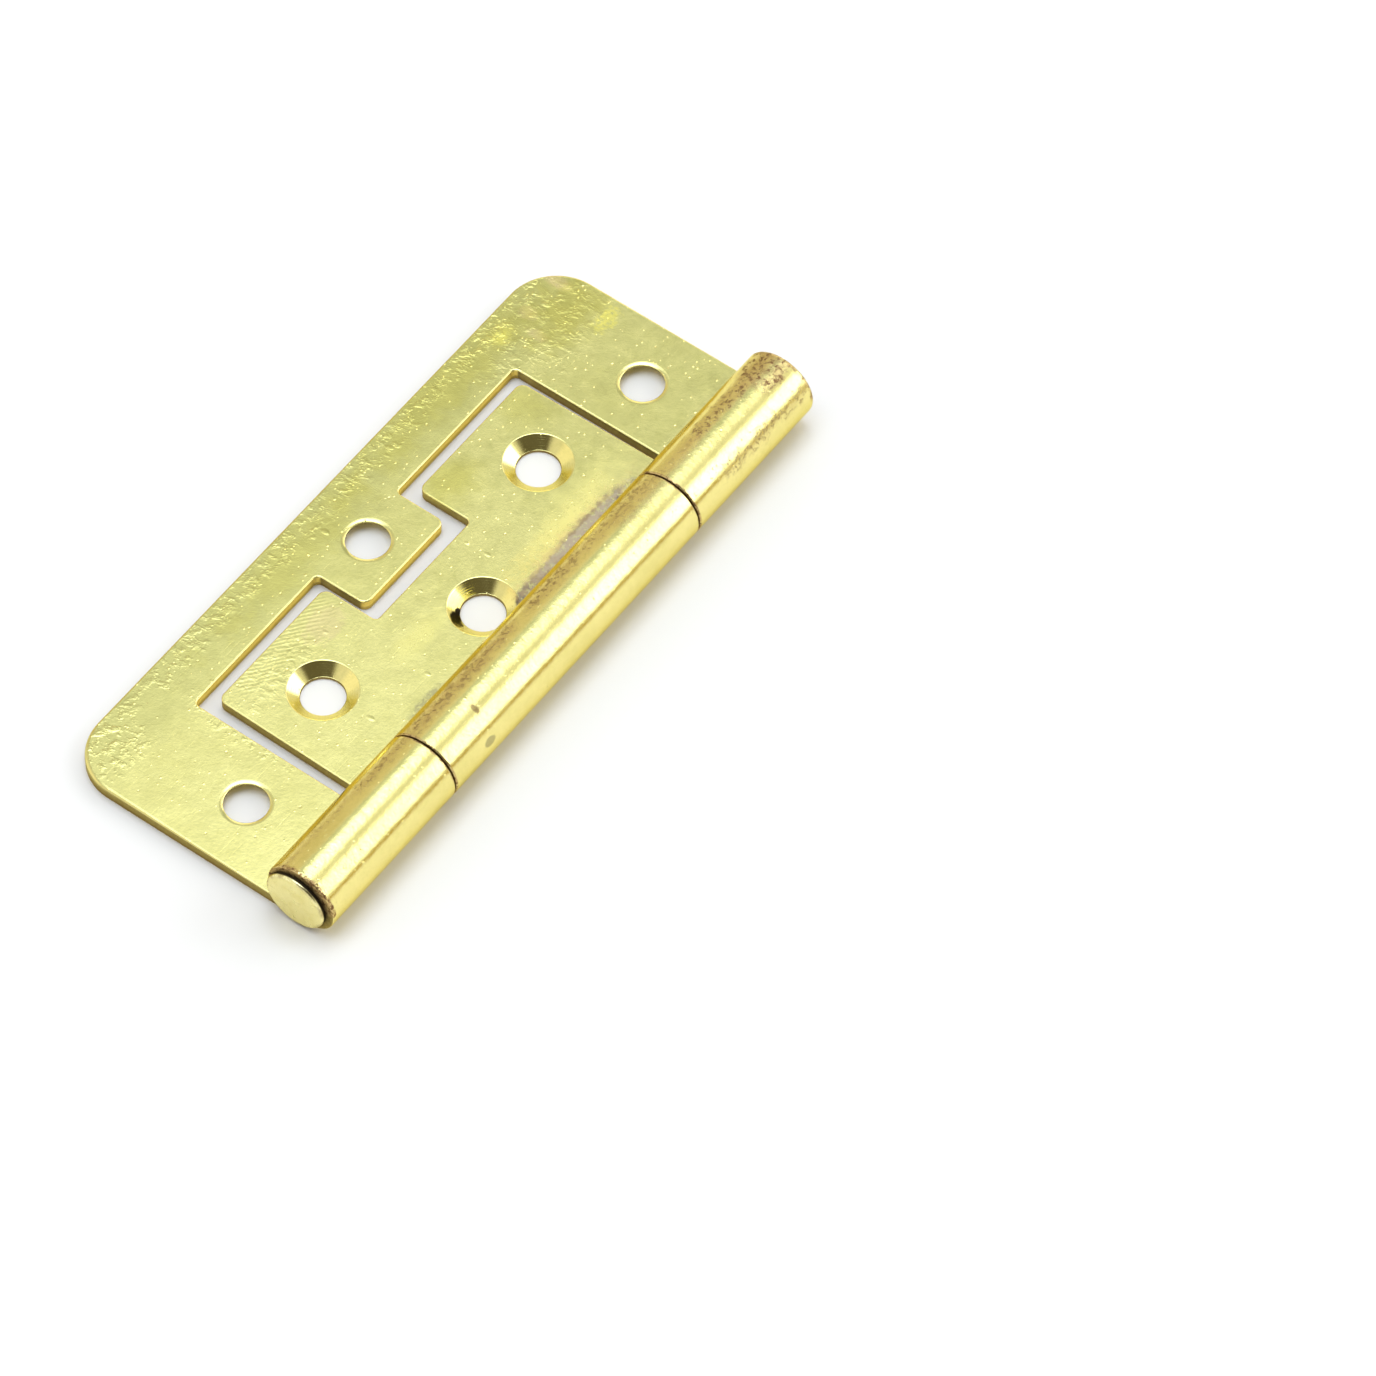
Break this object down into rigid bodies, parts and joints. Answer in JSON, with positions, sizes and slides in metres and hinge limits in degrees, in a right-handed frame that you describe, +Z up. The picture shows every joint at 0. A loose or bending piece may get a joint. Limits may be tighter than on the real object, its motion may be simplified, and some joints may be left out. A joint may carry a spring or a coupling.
{
  "type": "door hinge",
  "caption": "Flush hinge whose notched inner leaf nests in the window of the outer leaf, both rolled round a headed pin, with countersunk holes for wood screws.",
  "frame": {"origin": "centre of the closed hinge's footprint, on the plane that both leaves lie on", "axes": "+X along the pin, away from its head; +Y from the barrel across the leaves; +Z up, out of the face that the inner leaf's screws enter"},
  "size_m": [0.0756, 0.0324, 0.0077],
  "materials": {
    "outer_leaf_brass": "bright brass plate on rolled steel sheet, faint cross ripples, small pits and scratches",
    "inner_leaf_brass": "bright brass plate on rolled steel sheet, clear cross ripples and worn patches beside the barrel",
    "pin_brass": "bright brass plate on a steel pin, dark at the head's edge"
  },
  "bodies": {
    "outer": {"outer_leaf": "outer_leaf_brass", "hinge_pin": "pin_brass"},
    "inner": {"inner_leaf": "inner_leaf_brass"}
  },
  "joints": [
    {"name": "leaf_swing", "type": "hinge", "parent": "outer", "child": "inner", "pos_m": [0, -0.0124, 0.00385], "axis": [1, 0, 0], "continuous": true}
  ]
}
